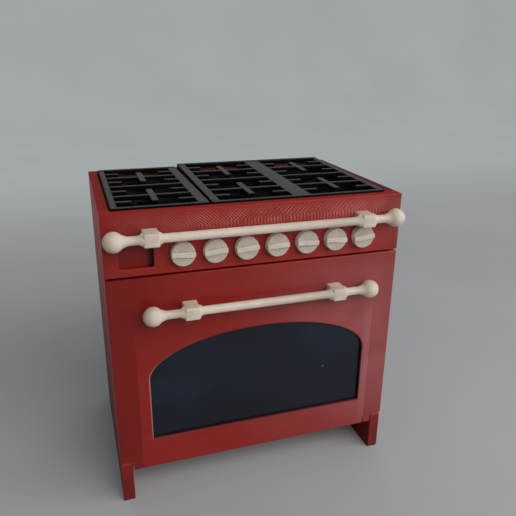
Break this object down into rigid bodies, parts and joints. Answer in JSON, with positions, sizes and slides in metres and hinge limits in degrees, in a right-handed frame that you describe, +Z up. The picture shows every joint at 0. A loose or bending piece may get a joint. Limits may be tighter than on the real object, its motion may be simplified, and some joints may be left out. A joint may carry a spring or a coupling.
{
  "type": "miniature range cooker",
  "caption": "Dolls' house range cooker with a drop-down oven door, seven turning knobs, two bar handles and lift-off pan supports over six burners",
  "frame": {"origin": "middle of the whole footprint on the surface it stands on", "axes": "+Z up, the front with the door and knobs faces -Y, +X to the right seen from the front"},
  "size_m": [0.075, 0.0546, 0.0795],
  "materials": {
    "red_plastic": "printed, satin, fine layer lines",
    "cream_plastic": "printed, satin",
    "black_plastic": "printed, satin",
    "dark_panel": "smooth satin sheet",
    "steel_wire": "drawn wire"
  },
  "bodies": {
    "body": {"body": "red_plastic", "hob_plate": "black_plastic", "burner_1": "black_plastic", "burner_2": "black_plastic", "burner_3": "black_plastic", "burner_4": "black_plastic", "burner_5": "black_plastic", "burner_6": "black_plastic", "top_rail": "cream_plastic", "left_hinge_pin": "steel_wire", "right_hinge_pin": "steel_wire"},
    "door": {"door": "red_plastic", "window_panel": "dark_panel", "door_rail": "cream_plastic"},
    "left_grate": {"left_grate": "black_plastic"},
    "right_grate": {"right_grate": "black_plastic"},
    "knob_1": {"knob_1": "cream_plastic"},
    "knob_2": {"knob_2": "cream_plastic"},
    "knob_3": {"knob_3": "cream_plastic"},
    "knob_4": {"knob_4": "cream_plastic"},
    "knob_5": {"knob_5": "cream_plastic"},
    "knob_6": {"knob_6": "cream_plastic"},
    "knob_7": {"knob_7": "cream_plastic"}
  },
  "joints": [
    {"name": "door_hinge", "type": "hinge", "parent": "body", "child": "door", "pos_m": [0, -0.02057, 0.0108], "axis": [1, 0, 0], "range_deg": [0, 90]},
    {"name": "knob_1_turn", "type": "hinge", "parent": "body", "child": "knob_1", "pos_m": [-0.0197, -0.02198, 0.068], "axis": [0, 1, 0], "continuous": true},
    {"name": "knob_2_turn", "type": "hinge", "parent": "body", "child": "knob_2", "pos_m": [-0.01201, -0.02198, 0.068], "axis": [0, 1, 0], "continuous": true},
    {"name": "knob_3_turn", "type": "hinge", "parent": "body", "child": "knob_3", "pos_m": [-0.00432, -0.02198, 0.068], "axis": [0, 1, 0], "continuous": true},
    {"name": "knob_4_turn", "type": "hinge", "parent": "body", "child": "knob_4", "pos_m": [0.00337, -0.02198, 0.068], "axis": [0, 1, 0], "continuous": true},
    {"name": "knob_5_turn", "type": "hinge", "parent": "body", "child": "knob_5", "pos_m": [0.01107, -0.02198, 0.068], "axis": [0, 1, 0], "continuous": true},
    {"name": "knob_6_turn", "type": "hinge", "parent": "body", "child": "knob_6", "pos_m": [0.01876, -0.02198, 0.068], "axis": [0, 1, 0], "continuous": true},
    {"name": "knob_7_turn", "type": "hinge", "parent": "body", "child": "knob_7", "pos_m": [0.02645, -0.02198, 0.068], "axis": [0, 1, 0], "continuous": true},
    {"name": "left_grate_lift", "type": "slide", "parent": "body", "child": "left_grate", "axis": [0, 0, 1], "range_m": [0, 0.03]},
    {"name": "right_grate_lift", "type": "slide", "parent": "body", "child": "right_grate", "axis": [0, 0, 1], "range_m": [0, 0.03]}
  ]
}
